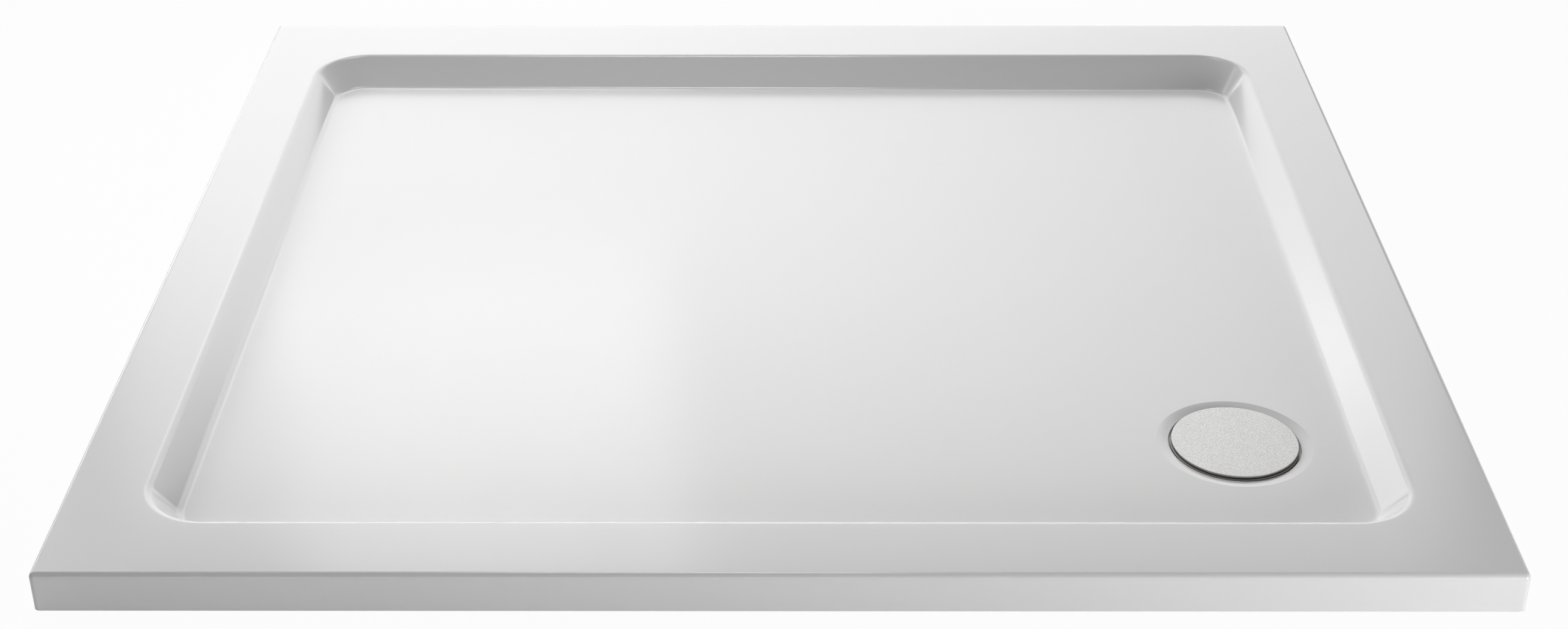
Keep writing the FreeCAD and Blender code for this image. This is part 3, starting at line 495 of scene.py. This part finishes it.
def floor_and_recess(start, inset):
    """Straight down the fall and the shallow dish, then down the step to the clamped seat."""
    bearing = Vector((start.x - WASTE.x, start.y - WASTE.y, 0)).normalized()
    slope_run = RECESS_RADIUS - RECESS_SEAT_RADIUS
    slope = math.atan2(RECESS_SLOPE_DEPTH, slope_run)
    slope_fall = (slope_run - inset) * math.tan(slope) + inset / math.cos(slope)

    def on_bearing(radius, level):
        return WASTE + bearing * radius + Vector((0, 0, level))

    edge = on_bearing(RECESS_RADIUS + inset * math.tan(slope / 2), FLOOR_LEVEL - inset)
    brink = on_bearing(RECESS_SEAT_RADIUS + inset, FLOOR_LEVEL - slope_fall)
    seat = on_bearing(RECESS_SEAT_RADIUS + inset, FLOOR_LEVEL - RECESS_DEPTH - inset)
    hole = on_bearing(WASTE_HOLE_RADIUS, FLOOR_LEVEL - RECESS_DEPTH - inset)
    lip = fillet(edge, start - edge, brink - edge, RECESS_LIP_RADIUS - inset, LIP_STEPS)
    brow = [brink]
    if not inset:
        brow = fillet(brink, edge - brink, seat - brink, SEAT_EDGE_RADIUS, ARC_STEPS)
    return between(start, lip[0], FLOOR_STEPS) + lip + brow + [seat, hole]


def cap_surface(station, inset):
    """One line of points over the cap, from the skirt's lower edge to the waste hole."""
    side = outer_side(station, inset)
    slope = wall(station, inset)
    rim = between(side[-1], slope[0], WALL_STEPS)
    return side + rim + slope + floor_and_recess(slope[-1], inset)


def cap_sheet():
    """The cap: its outer face and, one thickness behind, the face against the core."""
    lines = []
    for station in stations():
        lines.append(cap_surface(station, 0) + cap_surface(station, SKIN_THICKNESS)[::-1])
    return lofted("cap_sheet", [list(ring) for ring in zip(*lines)], CREASE)


# ---------------------------------------------------------------- the cover

COVER_LOW, COVER_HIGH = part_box("waste_cover")
COVER_RADIUS = (COVER_HIGH.x - COVER_LOW.x) / 2
COVER_AXIS = (COVER_LOW + COVER_HIGH) / 2
COVER_SHEET = 1 * MM
COVER_EDGE_RADIUS = 0.6 * MM
COVER_TURNS = 180
COVER_CREASE = 25 * DEG
EDGE_STEPS = 5

# Rings that divide its flat top and the flat underside, as shares of their radius
TOP_RINGS = (0.2, 0.4, 0.6, 0.8, 0.95)
UNDER_RINGS = (0.7, 0.35)


def turned(name, profile, centre, turns, sharp_angle):
    """A closed profile of (radius, level) points turned about an upright axis."""
    rings = []
    for radius, level in profile:
        ring = []
        for turn in range(turns):
            angle = 2 * math.pi * turn / turns
            spoke = Vector((math.cos(angle), math.sin(angle)))
            ring.append((*(centre.xy + radius * spoke), level))
        rings.append(ring)
    return lofted(name, rings, sharp_angle)


def cover_plate():
    """The pressed disc: flat top, rounded edge, turned-down rim and hollow underside."""
    top = COVER_HIGH.z
    inside = COVER_RADIUS - COVER_SHEET
    under = top - COVER_SHEET
    profile = [(0, top)]
    profile += [(COVER_RADIUS * share, top) for share in TOP_RINGS]
    for step in range(EDGE_STEPS + 1):
        angle = step / EDGE_STEPS * math.pi / 2
        radius = COVER_RADIUS - COVER_EDGE_RADIUS * (1 - math.sin(angle))
        profile.append((radius, top - COVER_EDGE_RADIUS * (1 - math.cos(angle))))
    profile += [(COVER_RADIUS, COVER_LOW.z), (inside, COVER_LOW.z), (inside, under)]
    profile += [(inside * share, under) for share in UNDER_RINGS]
    profile.append((0, under))
    return turned("cover_plate", profile, COVER_AXIS, COVER_TURNS, COVER_CREASE)


# ---------------------------------------------------------------- dressing the frame

SLOT_OF_NODE = {
    "tray_core": "core_resin",
    "cover_carrier": "carrier_black",
    "cover_pads": "seal_rubber",
    "hair_strainer": "insert_grey",
    "dip_tube": "insert_grey",
    "dip_tube_oring": "seal_rubber",
    "waste_flange": "flange_taupe",
    "flange_washer": "seal_rubber",
    "tray_gasket": "seal_rubber",
    "flange_screws": "screw_steel",
    "screw_inserts": "insert_brass",
    "trap_body": "trap_white",
    "trap_bowl": "trap_white",
    "elbow_seal": "seal_rubber",
    "elbow_nut": "nut_grey",
    "outlet_elbow": "trap_white",
    "outlet_seal": "seal_rubber",
    "slip_washer": "insert_grey",
    "outlet_nut": "nut_grey",
}
for name, slot in SLOT_OF_NODE.items():
    dress(NODES[name], slot)

cap = cap_sheet()
dress(cap, "cap_white")
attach(cap, "tray")
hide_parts("tray_skin")

cover = cover_plate()
dress(cover, "cover_steel")
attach(cover, "cover")
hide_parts("waste_cover")

# ---------------------------------------------------------------- studio

# The floor's half width, and how far it reaches in under the tray's edges
STAGE_REACH = 30.0
STAGE_MARGIN = 12 * MM
# How much of the floor that the eye sees is plain white, and the rest is lit and takes shadows
FLOOR_GLOW = 0.96
FLOOR_COLOUR = (0.90, 0.90, 0.90)
WHITE = (1.0, 1.0, 1.0, 1.0)
# The lamps alone light the tray
AMBIENT = 0.0


def sees_background(tree):
    """1 for rays that should find a white background: seen, mirrored or through glass."""
    seen = node(tree, "ShaderNodeLightPath", output="Is Camera Ray")
    mirrored = node(tree, "ShaderNodeLightPath", output="Is Glossy Ray")
    through = node(tree, "ShaderNodeLightPath", output="Is Transmission Ray")
    return seen.either(mirrored).either(through)


def floor_finish():
    """White to the eye, but still a pale floor that takes the tray's shadow."""
    finish = Finish("studio_floor")
    matt = finish.node("ShaderNodeBsdfDiffuse", inputs={"Color": colour(FLOOR_COLOUR)})
    glow = finish.node("ShaderNodeEmission", inputs={"Color": WHITE, "Strength": 1.0})
    share = FLOOR_GLOW * sees_background(finish.tree)
    return finish.ending_in(finish.node("ShaderNodeMixShader", inputs={0: share, 1: matt, 2: glow}))


def studio_floor():
    """A wide floor at the level that the tray lies on, open where the trap hangs below it."""
    low = SKIN_LOW + Vector((STAGE_MARGIN, STAGE_MARGIN, 0))
    high = SKIN_HIGH - Vector((STAGE_MARGIN, STAGE_MARGIN, 0))
    reach = STAGE_REACH
    inner = [(low.x, low.y), (high.x, low.y), (high.x, high.y), (low.x, high.y)]
    outer = [(-reach, -reach), (reach, -reach), (reach, reach), (-reach, reach)]
    data = bpy.data.meshes.new("studio_floor")
    faces = [(side, (side + 1) % 4, 4 + (side + 1) % 4, 4 + side) for side in range(4)]
    data.from_pydata([(x, y, 0) for x, y in outer + inner], [], faces)
    floor = bpy.data.objects.new("studio_floor", data)
    bpy.context.scene.collection.objects.link(floor)
    data.materials.append(floor_finish())


def studio_world():
    """White where it is seen or mirrored, and no light of its own beyond AMBIENT."""
    world = bpy.data.worlds.new("studio_world")
    bpy.context.scene.world = world
    world.use_nodes = True
    tree = world.node_tree
    tree.nodes.clear()
    ambient = node(tree, "ShaderNodeBackground", inputs={"Color": WHITE, "Strength": AMBIENT})
    white = node(tree, "ShaderNodeBackground", inputs={"Color": WHITE, "Strength": 1.0})
    share = sees_background(tree)
    mixed = node(tree, "ShaderNodeMixShader", inputs={0: share, 1: ambient, 2: white})
    node(tree, "ShaderNodeOutputWorld", inputs={"Surface": mixed})


def lamp(name, place, aim, width, height, spread, watts):
    """A soft rectangular lamp at a place, turned towards a point."""
    light = bpy.data.lights.new(name, "AREA")
    light.shape = "RECTANGLE"
    light.size = width
    light.size_y = height
    light.spread = spread * DEG
    light.energy = watts
    holder = bpy.data.objects.new(name, light)
    bpy.context.scene.collection.objects.link(holder)
    holder.location = place
    holder.rotation_euler = (Vector(aim) - Vector(place)).to_track_quat("-Z", "Y").to_euler()
    holder.visible_camera = False
    return holder


LAMPS = (
    # name, place and aim in metres, width, height, spread in degrees, watts
    ("back_left_window", (-4.0, 4.5, 3.0), (0.0, 0.0, 0.0), 3.0, 2.0, 180, 91.0),
    ("back_left_strip", (-4.0, 4.5, 1.2), (0.0, 0.0, 0.0), 3.0, 1.2, 180, 33.8),
    ("back_panel", (0.0, 2.6, 1.5), (0.0, 0.0, 0.0), 3.0, 1.4, 180, 28.1),
    ("back_strip", (0.0, 2.8, 0.5), (0.0, 0.0, 0.0), 3.0, 0.8, 180, 13.4),
    ("front_strip", (0.0, -2.8, 0.4), (0.0, 0.0, 0.0), 3.0, 0.6, 180, 13.8),
    ("front_right_panel", (1.3, -1.5, 0.3), (0.5, -0.55, 0.0), 0.6, 0.4, 180, 10.2),
    ("overhead_spot", (-0.2, 0.9, 2.6), (-0.2, -0.1, 0.0), 0.8, 0.8, 50, 1.3),
    ("centre_spot", (0.0, 0.3, 2.4), (-0.05, -0.15, 0.0), 0.6, 0.6, 28, 0.09),
    ("back_left_spot", (-1.6, 1.4, 1.6), (-0.35, 0.0, 0.0), 0.8, 0.8, 50, 0.73),
    ("back_spot", (-0.6, 2.0, 1.6), (-0.25, 0.0, 0.0), 0.8, 0.8, 50, 0.27),
    ("left_spot", (-2.2, 0.4, 1.0), (-0.3, -0.1, 0.0), 0.8, 0.6, 45, 0.68),
    ("right_spot", (2.6, 0.0, 0.3), (0.0, -0.1, 0.0), 1.6, 0.5, 60, 0.45),
    ("under_panel", (1.0, -1.4, -1.2), (0.3, -0.2, 0.0), 2.0, 1.4, 180, 42.0),
    ("under_fill", (-1.4, 1.2, -1.0), (0.2, -0.2, 0.0), 1.6, 1.2, 180, 26.0),
)
# Lamps that light the tray without showing in its gloss
NOT_MIRRORED = ("back_left_window", "under_panel", "under_fill")
for entry in LAMPS:
    holder = lamp(*entry)
    holder.visible_glossy = holder.name not in NOT_MIRRORED

studio_floor()
studio_world()

# ---------------------------------------------------------------- camera

# Fitted to the outline of the tray in the photograph, without lens shift
CAMERA_PLACE = (5.39 * MM, -2098.3 * MM, 1178.94 * MM)
CAMERA_PITCH = 30.2136 * DEG
CAMERA_YAW = 0.07 * DEG
CAMERA_LENS = 55.15
CAMERA_SENSOR = 36.0

view = bpy.data.cameras.new("camera")
view.lens = CAMERA_LENS
view.sensor_width = CAMERA_SENSOR
camera = bpy.data.objects.new("camera", view)
bpy.context.scene.collection.objects.link(camera)
camera.location = CAMERA_PLACE
camera.rotation_euler = (math.pi / 2 - CAMERA_PITCH, 0, CAMERA_YAW)
bpy.context.scene.camera = camera
bpy.context.scene.view_settings.view_transform = "Standard"
